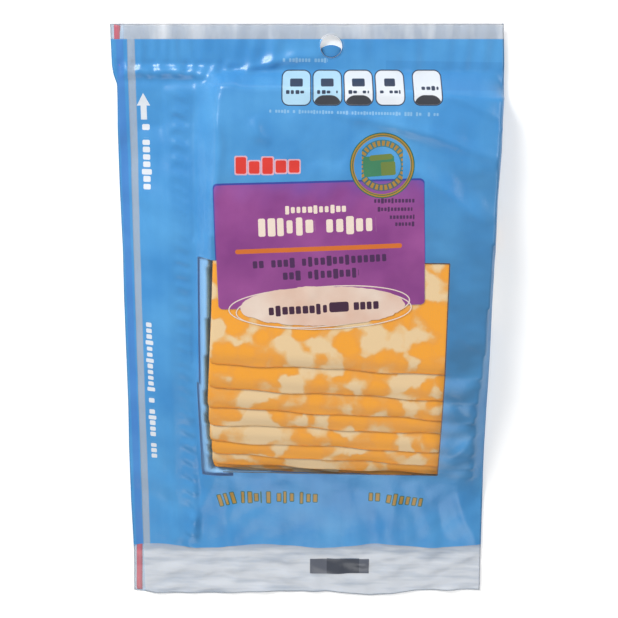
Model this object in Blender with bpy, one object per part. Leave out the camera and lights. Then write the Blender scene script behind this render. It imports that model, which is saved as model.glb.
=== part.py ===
"""A pouch of sliced cheese, lying on its back.

The pouch is one sealed bag of printed film round ten square slices, fanned
towards its foot. It is modelled as one closed solid out to the film: the mound
over the slices, the press-to-close zip along the left side, the flat heat
seals at the head and the foot, and the hang hole punched in the head.

Frame: origin on the ground under the pouch's centre, +X to the pouch's right,
+Y to its head, +Z up out of its printed face. All sizes are in metres.
"""

import math

import bmesh
import bpy
import numpy as np

MM = 0.001

# The pouch, laid flat.
POUCH_WIDTH = 142 * MM
POUCH_HEIGHT = 225 * MM
FILM_THICKNESS = 0.8 * MM  # both films of a seal, made thick enough to hold as a solid

# The heat seals across the head and the foot.
HEAD_SEAL = 19 * MM
FOOT_SEAL = 11 * MM
SEAL_LIFT = 1.0 * MM  # height of the seals above the ground

# The zip, a band along the left side with the tear-off strip outside it.
ZIP_CENTRE_X = -47.7 * MM
ZIP_WIDTH = 11 * MM
ZIP_THICKNESS = 2.6 * MM
ZIP_LIFT = 6.5 * MM  # of the zip beside the full stack
EDGE_LIFT = 2.0 * MM  # of the outer edge of the tear-off strip

# The slices: squares that fan towards the foot, each lying on the last.
SLICE_COUNT = 10
SLICE_SIDE = 101.6 * MM
SLICE_THICKNESS = 1.75 * MM
SLICE_TURN = math.radians(-3)
STACK_CENTRE_X = 16.3 * MM
LOWEST_SLICE_Y = -9.9 * MM
FAN_LENGTH = 47.4 * MM
FAN_CURVE = 2.0  # over 1, the slices draw closer together towards the foot

# The hang hole, a little right of centre in the head seal.
HOLE_RADIUS = 4 * MM
HOLE_CENTRE = (8.75 * MM, 104.5 * MM)

# The net on which the film is drawn tight, and the coarser one of its faces.
RELAX_STEP = 1.5 * MM
RELAX_ROUNDS = 900
FACE_STEP = 3.6 * MM

PRINT_BLUE = (0.075, 0.314, 0.680, 1.0)


def clear_scene():
    for obj in list(bpy.data.objects):
        bpy.data.objects.remove(obj)


def smooth_step(value, start, end):
    """0 before start, 1 after end, and an even S curve between them."""
    share = np.clip((value - start) / (end - start), 0.0, 1.0)
    return share * share * (3 - 2 * share)


def even_lines(length, step):
    """Evenly spaced places across a length that is centred on zero."""
    return np.linspace(-length / 2, length / 2, round(length / step) + 1)


def slice_centre_y(index):
    """The lowest slice is index 0. The steps between slices widen upwards."""
    return LOWEST_SLICE_Y + FAN_LENGTH * (index / (SLICE_COUNT - 1)) ** FAN_CURVE


def stack_height(x, y):
    """Every slice adds its thickness wherever it lies, so that the fan is a staircase."""
    height = np.zeros_like(x)
    for index in range(SLICE_COUNT):
        dx, dy = x - STACK_CENTRE_X, y - slice_centre_y(index)
        along = dx * math.cos(SLICE_TURN) + dy * math.sin(SLICE_TURN)
        across = dy * math.cos(SLICE_TURN) - dx * math.sin(SLICE_TURN)
        inside = (abs(along) < SLICE_SIDE / 2) & (abs(across) < SLICE_SIDE / 2)
        height += SLICE_THICKNESS * inside
    return height


def stack_share(y):
    """How much of the full stack lies at this distance from the foot, from 0 to 1."""
    bottom = LOWEST_SLICE_Y - SLICE_SIDE / 2
    top = LOWEST_SLICE_Y + FAN_LENGTH + SLICE_SIDE / 2
    rise = smooth_step(y, bottom - 20 * MM, bottom + FAN_LENGTH)
    return rise * (1 - smooth_step(y, top - FAN_LENGTH, top + 5 * MM))


def seam_height(x, y):
    """The height at which the two films meet: along the left edge, the zip and the right fold."""
    full_stack = SLICE_COUNT * SLICE_THICKNESS
    fold = SEAL_LIFT + (0.45 * full_stack - SEAL_LIFT) * stack_share(y)
    edge = SEAL_LIFT + (EDGE_LIFT - SEAL_LIFT) * stack_share(y)
    band = SEAL_LIFT + (ZIP_LIFT - SEAL_LIFT) * stack_share(y)
    outside_zip = smooth_step(x, -POUCH_WIDTH / 2, ZIP_CENTRE_X - ZIP_WIDTH / 2)
    return np.where(x < ZIP_CENTRE_X + ZIP_WIDTH, edge + (band - edge) * outside_zip, fold)


def drawn_tight(height, held, lowest):
    """The film as a tight skin: each free point takes the mean of its neighbours, but
    never sinks below what lies under it. Held points keep their height."""
    for _ in range(RELAX_ROUNDS):
        mean = height.copy()
        mean[1:-1, 1:-1] = (
            height[:-2, 1:-1] + height[2:, 1:-1] + height[1:-1, :-2] + height[1:-1, 2:]
        ) / 4
        height = np.where(held, height, np.maximum(mean, lowest))
    return height


def film_heights():
    """(x lines, y lines, top film, bottom film) on the fine net."""
    x_lines = even_lines(POUCH_WIDTH, RELAX_STEP)
    y_lines = even_lines(POUCH_HEIGHT, RELAX_STEP)
    x, y = np.meshgrid(x_lines, y_lines)
    seam = seam_height(x, y)
    stack = stack_height(x, y)
    in_zip = abs(x - ZIP_CENTRE_X) < ZIP_WIDTH / 2
    in_seal = (y > POUCH_HEIGHT / 2 - HEAD_SEAL) | (y < -POUCH_HEIGHT / 2 + FOOT_SEAL)
    outside = x < ZIP_CENTRE_X
    rim = (abs(x) > POUCH_WIDTH / 2 - RELAX_STEP / 2) | (abs(y) > POUCH_HEIGHT / 2 - RELAX_STEP / 2)
    held = in_seal | in_zip | outside | rim
    ridge = np.sqrt(np.clip(1 - ((x - ZIP_CENTRE_X) / (ZIP_WIDTH / 2)) ** 2, 0, 1))
    half = FILM_THICKNESS / 2 + (ZIP_THICKNESS - FILM_THICKNESS) / 2 * ridge * ~in_seal
    half = np.where(in_zip, half, FILM_THICKNESS / 2)
    top = drawn_tight(seam + half, held, stack + FILM_THICKNESS)
    under = np.where(stack > 0, 0, np.maximum(seam - half, 0))
    bottom = drawn_tight(under, held | (stack > 0), 0 * stack)
    return x_lines, y_lines, top, bottom


def at_lines(heights, x_lines, y_lines, x_new, y_new):
    """Heights on the fine net, read at the lines of the coarse one."""
    across = np.array([np.interp(x_new, x_lines, row) for row in heights])
    return np.array([np.interp(y_new, y_lines, column) for column in across.T]).T


def grid_faces(first, rows, columns, upwards):
    """The quads of a net of points, numbered row by row from first."""
    at = first + np.arange(rows * columns).reshape(rows, columns)
    corners = [at[:-1, :-1], at[:-1, 1:], at[1:, 1:], at[1:, :-1]]
    if not upwards:
        corners.reverse()
    return np.stack(corners, axis=-1).reshape(-1, 4).tolist()


def wall_faces(rows, columns):
    """The quads round the rim, from the bottom film's points to the top film's."""
    at = np.arange(rows * columns).reshape(rows, columns)
    ring = np.concatenate([at[0, :-1], at[:-1, -1], at[-1, :0:-1], at[:0:-1, 0]])
    following = np.roll(ring, -1)
    above = rows * columns
    return np.stack([ring, following, following + above, ring + above], axis=-1).tolist()


def film_material():
    material = bpy.data.materials.new("printed_film")
    material.use_nodes = True
    shader = material.node_tree.nodes["Principled BSDF"]
    shader.inputs["Base Color"].default_value = PRINT_BLUE
    shader.inputs["Roughness"].default_value = 0.3
    shader.inputs["Metallic"].default_value = 0.0
    return material


def hang_hole_cutter():
    bpy.ops.mesh.primitive_cylinder_add(
        vertices=24,
        radius=HOLE_RADIUS,
        depth=20 * MM,
        location=(*HOLE_CENTRE, SEAL_LIFT),
    )
    cutter = bpy.context.object
    cutter.name = "hang_hole_cutter"
    cutter.hide_render = True
    cutter.display_type = "WIRE"
    return cutter


def make_pouch():
    x_lines, y_lines, top, bottom = film_heights()
    x_new, y_new = even_lines(POUCH_WIDTH, FACE_STEP), even_lines(POUCH_HEIGHT, FACE_STEP)
    x, y = np.meshgrid(x_new, y_new)
    points = [
        np.stack([x, y, at_lines(film, x_lines, y_lines, x_new, y_new)], axis=-1).reshape(-1, 3)
        for film in (bottom, top)
    ]
    rows, columns = x.shape
    faces = grid_faces(0, rows, columns, upwards=False)
    faces += grid_faces(rows * columns, rows, columns, upwards=True)
    faces += wall_faces(rows, columns)

    mesh = bpy.data.meshes.new("pouch")
    mesh.from_pydata(np.concatenate(points).tolist(), [], faces)
    flattened = bmesh.new()
    flattened.from_mesh(mesh)
    bmesh.ops.dissolve_limit(
        flattened,
        angle_limit=math.radians(0.05),
        verts=flattened.verts,
        edges=flattened.edges,
    )
    bmesh.ops.triangulate(flattened, faces=flattened.faces)
    flattened.to_mesh(mesh)
    flattened.free()
    mesh.shade_smooth()
    mesh.set_sharp_from_angle(angle=math.radians(40))
    mesh.materials.append(film_material())

    pouch = bpy.data.objects.new("pouch", mesh)
    bpy.context.collection.objects.link(pouch)
    hole = pouch.modifiers.new("hang_hole", "BOOLEAN")
    hole.operation = "DIFFERENCE"
    hole.solver = "EXACT"
    hole.object = hang_hole_cutter()
    return pouch


clear_scene()
make_pouch()
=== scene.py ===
"""A pouch of marbled cheese slices, lying on its back on a plain pale floor.

Lengths in the shapes below are in millimetres until a mesh is made.
+X is the pouch's right, +Y its head with the hang hole, +Z out of its printed face.
"""

import math

import bmesh
import bpy
import numpy as np
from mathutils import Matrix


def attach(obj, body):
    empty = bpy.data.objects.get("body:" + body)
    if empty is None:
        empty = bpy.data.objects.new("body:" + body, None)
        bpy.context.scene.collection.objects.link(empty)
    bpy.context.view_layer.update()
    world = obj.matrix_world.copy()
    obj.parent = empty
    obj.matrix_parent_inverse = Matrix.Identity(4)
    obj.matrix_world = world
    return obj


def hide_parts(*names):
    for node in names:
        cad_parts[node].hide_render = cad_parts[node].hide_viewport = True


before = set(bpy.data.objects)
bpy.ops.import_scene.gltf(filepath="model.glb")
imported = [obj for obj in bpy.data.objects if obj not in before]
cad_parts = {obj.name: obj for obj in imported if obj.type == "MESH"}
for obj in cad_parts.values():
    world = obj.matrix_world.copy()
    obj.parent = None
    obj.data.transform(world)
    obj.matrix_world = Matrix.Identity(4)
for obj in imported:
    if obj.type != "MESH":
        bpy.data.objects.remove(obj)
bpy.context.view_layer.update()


# ---------------------------------------------------------------- cheese slices
# Ten square slices of marbled cheese, sliced 1.75 mm thick from a block and
# fanned towards the foot, each lying on the last. At the head end, where fewer
# slices lie beneath, they sink together towards the back film.

SLICE_SIDE = 101.6
SLICE_THICKNESS = 1.75
SLICE_CORNER = 1.6  # radius of a slice's corners, as cut

# For each slice from the lowest: its centre across and up, and its turn in degrees.
SLICE_PLACES = (
    (16.4, -9.8, -3.0),
    (15.9, -9.0, -2.5),
    (16.6, -8.0, -3.2),
    (16.2, -6.2, -2.9),
    (16.6, -1.9, -3.4),
    (15.8, 4.1, -3.1),
    (15.5, 12.0, -2.8),
    (15.9, 18.7, -3.4),
    (16.5, 27.1, -3.3),
    (17.0, 37.5, -2.9),
)
SLICE_DROOP = 1.2  # how far the upper side rounds down at the foot edge
DROOP_REACH = 4.0  # the width of that rounding
SLICE_LOWEST = 0.25  # the least height of a slice's underside above the ground
SLICE_COLUMNS = 72
SLICE_WALL_STEPS = 4


def smooth_step(value, start, end):
    """0 before start, 1 after end, and an even S curve between them."""
    share = np.clip((value - start) / (end - start), 0.0, 1.0)
    return share * share * (3 - 2 * share)


def slope_start(x):
    """Where the stack starts to fall towards the head, across the turned fan."""
    return 30.0 - 0.052 * (x - 16)


def stack_sink(x, y):
    """How far the slices sink at the head end: a smooth ramp from the lowest
    slice's head edge to the highest one's."""
    along = y - slope_start(x)
    ramp = np.clip(along / 62.0, 0, None)
    return 11.8 * ramp**1.5 / (1 + 0.25 * ramp**2)


def slice_frame(index):
    """(centre x, centre y, unit vector along the slice, unit vector up the slice)."""
    centre_x, centre_y, turn = SLICE_PLACES[index]
    angle = math.radians(turn)
    along = (math.cos(angle), math.sin(angle))
    up = (-math.sin(angle), math.cos(angle))
    return centre_x, centre_y, along, up


def slice_middle_height(index, x, y):
    """The height of a slice's middle plane: its place in the stack less the sink,
    with a slow waviness all slices share."""
    wave = 0.16 * np.sin(x / 17.0 + 0.6) * np.sin(y / 23.0)
    height = (index + 0.5) * SLICE_THICKNESS - stack_sink(x, y) + wave
    return np.maximum(height, SLICE_THICKNESS / 2 + SLICE_LOWEST)


def mesh_from_grid(name, points, uv, close_across=False):
    """A mesh of quads over a grid of points in millimetres, rows first. The grid may
    close on itself across its columns. uv is one pair for each point."""
    rows, columns = points.shape[:2]
    at = np.arange(rows * columns).reshape(rows, columns)
    if close_across:
        at = np.concatenate([at, at[:, :1]], axis=1)
    quads = np.stack([at[:-1, :-1], at[:-1, 1:], at[1:, 1:], at[1:, :-1]], axis=-1)
    quads = quads.reshape(-1, 4)
    mesh = bpy.data.meshes.new(name)
    mesh.from_pydata((points.reshape(-1, 3) * 0.001).tolist(), [], quads.tolist())
    layer = mesh.uv_layers.new(name="UVMap")
    layer.data.foreach_set("uv", uv.reshape(-1, 2)[quads.ravel()].astype(np.float32).ravel())
    mesh.polygons.foreach_set("use_smooth", np.ones(len(quads), dtype=bool))
    mesh.update()
    return mesh


def closed(mesh):
    """Merges the points that share a place, such as a pole's, caps any open end and
    turns every face outwards."""
    shape = bmesh.new()
    shape.from_mesh(mesh)
    bmesh.ops.remove_doubles(shape, verts=shape.verts, dist=1e-6)
    bmesh.ops.holes_fill(shape, edges=shape.edges, sides=0)
    bmesh.ops.recalc_face_normals(shape, faces=shape.faces)
    shape.to_mesh(mesh)
    shape.free()
    return mesh


def linked(name, mesh):
    obj = bpy.data.objects.new(name, mesh)
    bpy.context.scene.collection.objects.link(obj)
    return obj


def slice_mesh(index):
    """A rounded square sheet. The grid runs over the top, down the four walls and over
    the underside at once: one parameter goes round the square, the other from the
    middle of the top out to the rim, down the wall and back to the middle below."""
    centre_x, centre_y, along, up = slice_frame(index)
    around = np.linspace(0, 2 * math.pi, 4 * SLICE_COLUMNS, endpoint=False)
    cosine, sine = np.cos(around), np.sin(around)
    reach = 1 / np.maximum(abs(cosine), abs(sine))
    half = SLICE_SIDE / 2
    rim_x, rim_y = half * cosine * reach, half * sine * reach
    # Round the corners: points beyond the corner circle's centre are drawn onto it.
    inner = half - SLICE_CORNER
    over_x, over_y = np.maximum(abs(rim_x) - inner, 0), np.maximum(abs(rim_y) - inner, 0)
    over = np.maximum(np.hypot(over_x, over_y), 1e-9)
    scale = np.where((over_x > 0) & (over_y > 0), SLICE_CORNER / over, 1.0)
    rim_x = np.sign(rim_x) * (np.minimum(abs(rim_x), inner) + over_x * scale)
    rim_y = np.sign(rim_y) * (np.minimum(abs(rim_y), inner) + over_y * scale)
    # The foot edge isn't quite straight.
    wander = 0.36 * np.sin(rim_x / 8.3 + 1.7 * index) + 0.2 * np.sin(rim_x / 3.6 + 2.9 * index)
    rim_y = rim_y + wander * smooth_step(-rim_y, 0.9 * half, half)
    # Rings from the middle to the rim, closer together at the rim.
    share = np.concatenate([np.linspace(0, 0.9, 24), [0.94, 0.97, 0.99, 1.0]])
    wall = np.linspace(0, math.pi, SLICE_WALL_STEPS + 2)[1:-1]
    inward = np.concatenate([share, 1 + 0 * wall, share[::-1]])
    bulge = np.concatenate([0 * share, 0.16 * np.sin(wall), 0 * share])
    level = np.concatenate([1 + 0 * share, np.cos(wall), -1 + 0 * share]) * SLICE_THICKNESS / 2
    level[len(share) - 1] *= 0.86
    level[-len(share)] *= 0.86
    local_x = inward[:, None] * rim_x + bulge[:, None] * cosine
    local_y = inward[:, None] * rim_y + bulge[:, None] * sine
    x = centre_x + local_x * along[0] + local_y * up[0]
    y = centre_y + local_x * along[1] + local_y * up[1]
    droop = SLICE_DROOP * smooth_step(-local_y, half - DROOP_REACH, half) * (level[:, None] > 0)
    z = slice_middle_height(index, x, y) + level[:, None] - droop
    wall_run = np.concatenate([0 * share, SLICE_THICKNESS * (wall / math.pi), 0 * share + 2])
    uv = np.stack(
        [
            (local_x + wall_run[:, None] * cosine + 137.0 * (index % 4)) * 0.001,
            (local_y + wall_run[:, None] * sine + 149.0 * (index // 4)) * 0.001,
        ],
        axis=-1,
    )
    points = np.stack([x, y, z], axis=-1)
    mesh = mesh_from_grid(f"cheese_slice_{index + 1:02d}", points, uv, close_across=True)
    return closed(mesh)


def cheese_material():
    """Marbled curd: soft-edged patches from pale to deep orange, made of cells whose
    edges melt into each other, with a cloudier mottle and a damp sheen."""
    material = bpy.data.materials.new("marbled_cheese")
    material.use_nodes = True
    tree = material.node_tree
    shader = tree.nodes["Principled BSDF"]
    shader.inputs["Roughness"].default_value = 0.5
    uv = tree.nodes.new("ShaderNodeUVMap")
    uv.uv_map = "UVMap"

    def noise(scale, detail, source):
        made = tree.nodes.new("ShaderNodeTexNoise")
        made.inputs["Scale"].default_value = scale
        made.inputs["Detail"].default_value = detail
        tree.links.new(source, made.inputs["Vector"])
        return made.outputs

    warped = tree.nodes.new("ShaderNodeVectorMath")
    warped.operation = "MULTIPLY_ADD"
    warped.inputs[1].default_value = (0.005, 0.005, 0.0)
    tree.links.new(noise(190, 2, uv.outputs["UV"])["Color"], warped.inputs[0])
    tree.links.new(uv.outputs["UV"], warped.inputs[2])
    curds = tree.nodes.new("ShaderNodeTexVoronoi")
    curds.feature = "SMOOTH_F1"
    curds.inputs["Scale"].default_value = 165
    curds.inputs["Smoothness"].default_value = 1.0
    tree.links.new(warped.outputs["Vector"], curds.inputs["Vector"])
    split = tree.nodes.new("ShaderNodeSeparateColor")
    tree.links.new(curds.outputs["Color"], split.inputs["Color"])
    value = split.outputs["Red"]
    for scale, detail, weight in ((60, 3, 0.75), (320, 3, 0.16)):
        blend = tree.nodes.new("ShaderNodeMath")
        blend.operation = "MULTIPLY_ADD"
        blend.inputs[1].default_value = weight
        tree.links.new(noise(scale, detail, uv.outputs["UV"])["Fac"], blend.inputs[0])
        tree.links.new(value, blend.inputs[2])
        value = blend.outputs["Value"]
    spread = tree.nodes.new("ShaderNodeMapRange")
    spread.inputs["From Min"].default_value = 0.55
    spread.inputs["From Max"].default_value = 1.35
    tree.links.new(value, spread.inputs["Value"])
    value = spread.outputs["Result"]
    ramp = tree.nodes.new("ShaderNodeValToRGB")
    steps = ramp.color_ramp.elements
    steps[0].position, steps[0].color = 0.18, (0.84, 0.60, 0.32, 1)
    steps[1].position, steps[1].color = 0.74, (0.93, 0.370, 0.006, 1)
    for position, tone in (
        (0.31, (0.83, 0.500, 0.190, 1)),
        (0.40, (0.85, 0.385, 0.060, 1)),
        (0.52, (0.88, 0.350, 0.020, 1)),
    ):
        step = steps.new(position)
        step.color = tone
    tree.links.new(value, ramp.inputs["Fac"])
    tree.links.new(ramp.outputs["Color"], shader.inputs["Base Color"])
    bump = tree.nodes.new("ShaderNodeBump")
    bump.inputs["Strength"].default_value = 0.2
    bump.inputs["Distance"].default_value = 0.0003
    tree.links.new(noise(900, 4, uv.outputs["UV"])["Fac"], bump.inputs["Height"])
    tree.links.new(bump.outputs["Normal"], shader.inputs["Normal"])
    return material


cheese = cheese_material()
for index in range(len(SLICE_PLACES)):
    piece = linked(f"cheese_slice_{index + 1:02d}", slice_mesh(index))
    piece.data.materials.append(cheese)
    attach(piece, "root")


# ------------------------------------------------------------------ pouch shape
# The pouch is one web of clear film, folded at the right, heat-sealed at the
# head, the foot and the left, and drawn down over the stack of slices.

POUCH_WIDTH = 142.0
POUCH_HEIGHT = 225.0
HEAD_SEAL_Y = 95.0
FOOT_SEAL_Y = -102.0
SEAL_HEIGHT = 0.9
FILM_STEP = 0.85
SEAL_GAP = 0.3  # between the two films of a seal
BACK_HEIGHT = 0.12  # of the back film above the ground, under the slices

# The outline: distances up the pouch, and the left and right edges at each.
OUTLINE_Y = (-112.5, -94, -72, -50, -30, -10, 10, 30, 49, 67, 85, 91, 94.5, 98, 107, 112.5)
OUTLINE_LEFT = (
    -70.7, -70.2, -70.5, -70.5, -70.1, -70.1, -70.1, -69.8, -70.0, -70.0, -69.4, -69.3, -70.4,
    -70.9, -71.0, -71.0,
)
OUTLINE_RIGHT = (
    70.7, 70.4, 70.2, 69.6, 69.5, 69.7, 69.8, 70.1, 70.4, 71.6, 72.0, 71.8, 71.7, 71.7, 71.2, 70.9,
)

# Where the foot edge is cut a little long or short, across the pouch.
FOOT_CUT_X = (-71, -66, -62, -30, -18, -4, 8, 18, 26, 34, 44, 71)
FOOT_CUT = (1.0, 0.3, -0.5, -0.5, 0.3, 0.1, 0.3, -0.8, -1.5, -0.9, 0.6, 1.0)

# The zip band: its left and right edges, at places up the pouch.
ZIP_Y = (-103, -61, -4, 42, 91)
ZIP_LEFT = (-53.2, -53.9, -53.8, -52.6, -51.8)
ZIP_RIGHT = (-44.0, -43.9, -43.2, -42.0, -41.2)
ZIP_BULGE = 0.9  # how far the zip holds each film off the seam
ZIP_CLEARANCE = 0.62  # the least of that, over the zip's own width


def stack_share(y):
    """How much of the full stack lies at this distance up the pouch, from 0 to 1."""
    return smooth_step(y, -82, -8) * (1 - smooth_step(y, 34, 96))


def seam_height(x, y):
    """The height at which the two films meet at the left edge, along the zip and at
    the right fold."""
    share = stack_share(y)
    band = SEAL_HEIGHT + 6.5 * share * smooth_step(x, -71, -53)
    fold = SEAL_HEIGHT + 7.0 * share
    return np.where(x < 0, band, fold)


def stack_top(x, y):
    """The height of the highest slice at each place, out to just past its edges, or
    below the floor where there is none."""
    top = np.full(x.shape, -1.0)
    for index in range(len(SLICE_PLACES)):
        centre_x, centre_y, along, up = slice_frame(index)
        dx, dy = x - centre_x, y - centre_y
        inside = abs(dx * along[0] + dy * along[1]) < SLICE_SIDE / 2 + 0.8
        inside &= abs(dx * up[0] + dy * up[1]) < SLICE_SIDE / 2 + 0.8
        surface = slice_middle_height(index, x, y) + SLICE_THICKNESS / 2
        top = np.where(inside, np.maximum(top, surface), top)
    return top


def drawn_tight(height, held, lowest, rounds):
    """The film as a tight skin: each free point takes the mean of its neighbours but
    stays above what lies under it. Held points keep their height."""
    for _ in range(rounds):
        mean = height.copy()
        mean[1:-1, 1:-1] = (
            height[:-2, 1:-1] + height[2:, 1:-1] + height[1:-1, :-2] + height[1:-1, 2:]
        ) / 4
        height = np.where(held, height, np.maximum(mean, lowest))
    return height


film_rows = round(POUCH_HEIGHT / FILM_STEP) + 1
film_columns = round(POUCH_WIDTH / FILM_STEP) + 1
film_y = np.linspace(-POUCH_HEIGHT / 2, POUCH_HEIGHT / 2, film_rows)[:, None]
film_s = np.linspace(0, 1, film_columns)[None, :]
left_edge = np.interp(film_y, OUTLINE_Y, OUTLINE_LEFT)
right_edge = np.interp(film_y, OUTLINE_Y, OUTLINE_RIGHT)
flat_x = left_edge + (right_edge - left_edge) * film_s
foot_cut = np.interp(flat_x, FOOT_CUT_X, FOOT_CUT)
flat_y = film_y + foot_cut * (1 - smooth_step(film_y, -112.5, -96))

# The hang hole, punched through both films: a ring of the grid drawn to a circle.
HOLE_X, HOLE_Y = 8.75, 104.5
HOLE_RADIUS = 4.0
HOLE_REACH = 5  # of the opening, in steps of the grid
hole_row = int(np.argmin(abs(film_y[:, 0] - HOLE_Y)))
hole_column = int(np.argmin(abs(flat_x[hole_row] - HOLE_X)))
step_x = np.arange(film_columns)[None, :] - hole_column + 0 * film_y
step_y = np.arange(film_rows)[:, None] - hole_row + 0.0 * film_s
ring = np.maximum(abs(step_x), abs(step_y))
round_scale = HOLE_RADIUS / HOLE_REACH * ring / np.maximum(np.hypot(step_x, step_y), 1e-9)
drawn = 1 - smooth_step(ring, HOLE_REACH, 9)
flat_x = flat_x + drawn * (HOLE_X + step_x * round_scale - flat_x)
flat_y = flat_y + drawn * (HOLE_Y + step_y * round_scale - flat_y)
in_hole = (step_x >= -HOLE_REACH) & (step_x < HOLE_REACH)
in_hole &= (step_y >= -HOLE_REACH) & (step_y < HOLE_REACH)

under_film = stack_top(flat_x, flat_y)
seam = seam_height(flat_x, flat_y)
rim = np.zeros(flat_x.shape, dtype=bool)
rim[[0, -1], :] = True
rim[:, [0, -1]] = True
in_seal = (flat_y > HEAD_SEAL_Y) | (flat_y < FOOT_SEAL_Y)
zip_right = np.interp(flat_y, ZIP_Y, ZIP_RIGHT)
zip_left = np.interp(flat_y, ZIP_Y, ZIP_LEFT)
held = rim | in_seal | (flat_x < zip_right)
film_gap = 0.25 + 3.0 * smooth_step(flat_y, 54, 80)
start = np.maximum(seam, under_film + film_gap)
tight = drawn_tight(start, held, np.maximum(under_film + film_gap, 0.5), 700)

# Where the film is creased: the path of each crease, its half width and its height,
# below zero for a valley.
CREASES = (
    # the crushed band across the head end of the zip
    (((-71, 98.4), (-50, 98.2), (-28, 98.0)), 1.0, -0.9),
    (((-71, 95.6), (-45, 95.4), (-27, 94.6)), 2.6, 1.5),
    (((-71, 92.8), (-48, 92.2), (-27, 92.4)), 1.0, -1.2),
    (((-30, 92.6), (-20, 97.0), (-5, 100.6), (6, 101.0)), 1.8, 1.5),
    (((-28, 92.4), (-12, 91.4), (6, 91.6)), 1.0, -0.8),
    # the film dented in beside the head corner of the highest slice
    (((-24.6, 78.5), (-23.6, 73.0), (-20.6, 68.6), (-15, 66.6), (-9, 67.6)), 1.3, -2.2),
    (((-19, 80), (-17.4, 74), (-13, 71.2)), 1.8, 1.1),
    (((-4, 71.5), (3, 76.4), (12, 77.2)), 1.4, -1.1),
    (((-9, 62), (2, 67), (14, 66)), 2.4, -1.4),
    # long folds down from the head seal to the right fold
    (((6, 82), (24, 79), (46, 73.5), (70, 64)), 2.6, 1.7),
    (((30, 74), (48, 65), (70, 49)), 2.2, -1.2),
    (((38, 62), (52, 52.5), (66, 41)), 2.0, 1.2),
    (((50, 88), (60, 84), (71, 78)), 1.6, 0.9),
    (((54, 34), (62, 26), (70, 14)), 1.6, -0.7),
    (((52, 8), (60, -2), (69, -8)), 1.8, 0.5),
    (((53, -22), (61, -34), (69, -40)), 2.0, -0.6),
    (((54, -52), (60, -47), (69, -36)), 1.8, 0.6),
    # folds from the stack's foot corners to the foot seal
    (((-36, -61), (-44, -78), (-50, -99)), 2.0, 0.7),
    (((-31, -62), (-33, -80), (-31, -100)), 2.0, -0.5),
    (((-12, -64), (-10, -82), (-12, -100)), 4.0, 0.5),
    (((12, -66), (15, -84), (14, -100)), 3.0, -0.5),
    (((36, -66), (33, -84), (36, -100)), 4.5, 0.5),
    (((58, -64), (63, -80), (70, -92)), 2.4, 0.7),
    (((52, -66), (54, -82), (58, -98)), 2.4, -0.4),
    # up the flank between the zip and the slices
    (((-38, 88), (-37, 60), (-38.5, 20), (-40, -20), (-39.5, -60)), 1.3, -0.7),
    (((-34, 84), (-31, 70), (-34, 50)), 2.0, 0.9),
)

# The zip's edges show through the film as fine lines down the pouch.
ZIP_LINES = (
    (tuple(zip(np.add(ZIP_LEFT, 0.4), ZIP_Y)), 0.8, -0.42),
    (tuple(zip(np.add(ZIP_RIGHT, -0.9), ZIP_Y)), 0.7, 0.36),
    (tuple(zip(np.add(ZIP_RIGHT, 0.9), ZIP_Y)), 0.8, -0.45),
)


def creased(x, y, path, half_width, height):
    """A crease: a ridge of rounded section along a path, fading in and out over its
    ends. The section is height / (1 + (distance / half_width)^2)^1.5."""
    points = np.array(path, dtype=float)
    nearest = np.full(x.shape, 1e9)
    place = np.zeros(x.shape)
    total = 0.0
    for start, end in zip(points[:-1], points[1:]):
        run = end - start
        length = math.hypot(*run)
        share = ((x - start[0]) * run[0] + (y - start[1]) * run[1]) / length**2
        share = np.clip(share, 0, 1)
        away = np.hypot(x - start[0] - share * run[0], y - start[1] - share * run[1])
        closer = away < nearest
        place = np.where(closer, total + share * length, place)
        nearest = np.where(closer, away, nearest)
        total += length
    fade = np.sin(np.pi * np.clip(place / total, 0.0, 1.0)) ** 0.6
    return height * fade / (1 + (nearest / half_width) ** 2) ** 1.5


def rippled(x, y, rng, count, length, turn, spread):
    """Uneven folds: the sum of waves of nearly one length and direction, each bent by a
    slow wave of its own. A wave is the arc sine of a sine, nearly a zigzag, so that
    the film folds along lines between flatter facets."""
    total = np.zeros(x.shape)
    for _ in range(count):
        angle = turn + rng.normal(0, spread)
        wave = length * rng.uniform(0.7, 1.5)
        bend = rng.uniform(0.2, 0.7) * wave
        across = x * math.cos(angle) + y * math.sin(angle)
        along = y * math.cos(angle) - x * math.sin(angle)
        swing = np.sin(along / (wave * 2.7) + rng.uniform(0, 6.3))
        phase = (across + bend * swing) * 2 * math.pi / wave + rng.uniform(0, 6.3)
        strength = 0.5 + 0.5 * np.sin(across / (wave * 1.9) + along / (wave * 3.1) + wave)
        total += strength * np.arcsin(0.97 * np.sin(phase)) / 1.2
    return total / math.sqrt(count)


def window_of(value, low, high, soft):
    """1 between low and high, falling to 0 over a soft margin on both sides."""
    return smooth_step(value, low - soft, low) * (1 - smooth_step(value, high, high + soft))


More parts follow.
